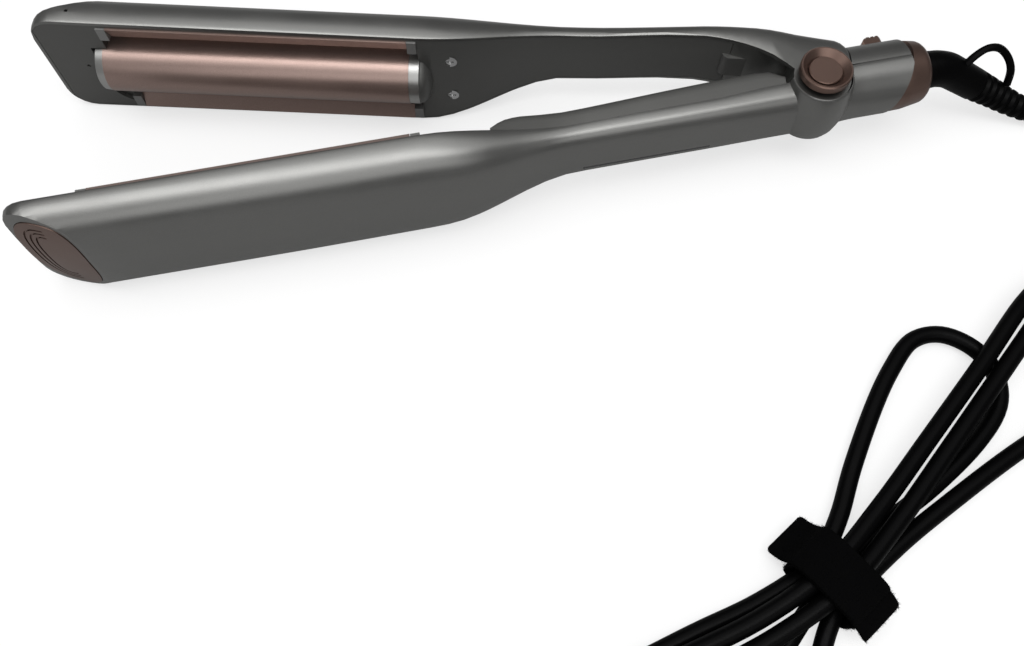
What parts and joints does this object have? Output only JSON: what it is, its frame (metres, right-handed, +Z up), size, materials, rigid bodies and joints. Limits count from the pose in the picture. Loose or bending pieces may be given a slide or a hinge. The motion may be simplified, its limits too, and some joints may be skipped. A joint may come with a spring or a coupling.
{
  "type": "hair waver",
  "caption": "Hair waver lying open on its side: a barrel plate closes into a trough plate between two hinged arms, with a lock slider and a swivel cord tied in a hank",
  "frame": {"origin": "centre of the open tool's base, without the free cord, on the table it lies on", "axes": "+Z up from the table and along the hinge axis, -X to the tips, +Y to the far arm"},
  "size_m": [0.4327, 0.4109, 0.049],
  "materials": {
    "casing": "metallic titanium grey paint, satin",
    "inner_cover": "dark grey moulded, fine texture",
    "rose_trim": "rose gold metallic, satin",
    "plate": "rose gold ceramic coating, glossy",
    "collar": "light grey satin",
    "holder": "heat-resistant, matt",
    "heater": "ceramic, matt",
    "board": "circuit board",
    "lens": "black gloss",
    "steel": "bright",
    "swivel": "black, satin",
    "cord_jacket": "black, satin",
    "strap": "black hook-and-loop",
    "plug": "black, moulded"
  },
  "bodies": {
    "near_arm": {"near_casing": "casing", "near_inner_cover": "inner_cover", "near_tip_cap": "rose_trim", "trough_plate": "plate", "near_plate_holder": "holder", "near_heater": "heater", "near_cover_screws": "steel", "rear_cover": "casing", "rear_collar": "rose_trim", "control_board": "board", "display_lens": "lens", "hinge_pin": "steel", "hinge_ring": "rose_trim", "hinge_disc": "rose_trim", "hinge_spring": "steel", "hinge_washer": "steel"},
    "far_arm": {"far_casing": "casing", "far_inner_cover": "inner_cover", "far_tip_cap": "rose_trim", "barrel_plate": "plate", "barrel_collar_tip": "collar", "barrel_collar_root": "collar", "far_plate_holder": "holder", "far_heater": "heater", "far_cover_screws": "steel"},
    "lock": {"lock_slider": "rose_trim"},
    "cord_set": {"swivel_barrel": "swivel", "cord_neck": "swivel", "hanging_loop": "swivel", "cord": "cord_jacket", "cord_hank": "cord_jacket", "cord_tie": "strap", "cord_tail": "cord_jacket", "plug_body": "plug", "plug_pins": "steel"}
  },
  "joints": [
    {"name": "arm_hinge", "type": "hinge", "parent": "near_arm", "child": "far_arm", "pos_m": [0.0936, -0.03336, 0.0245], "axis": [0, 0, 1], "range_deg": [0, 14.5], "stiffness_Nm_per_rad": 0.25, "springref_deg": -28.65},
    {"name": "lock_slide", "type": "slide", "parent": "near_arm", "child": "lock", "axis": [-1, 0, 0], "range_m": [0, 0.005]},
    {"name": "cord_swivel", "type": "hinge", "parent": "near_arm", "child": "cord_set", "pos_m": [0.1391, -0.02836, 0.0245], "axis": [1, 0, 0], "continuous": true}
  ]
}
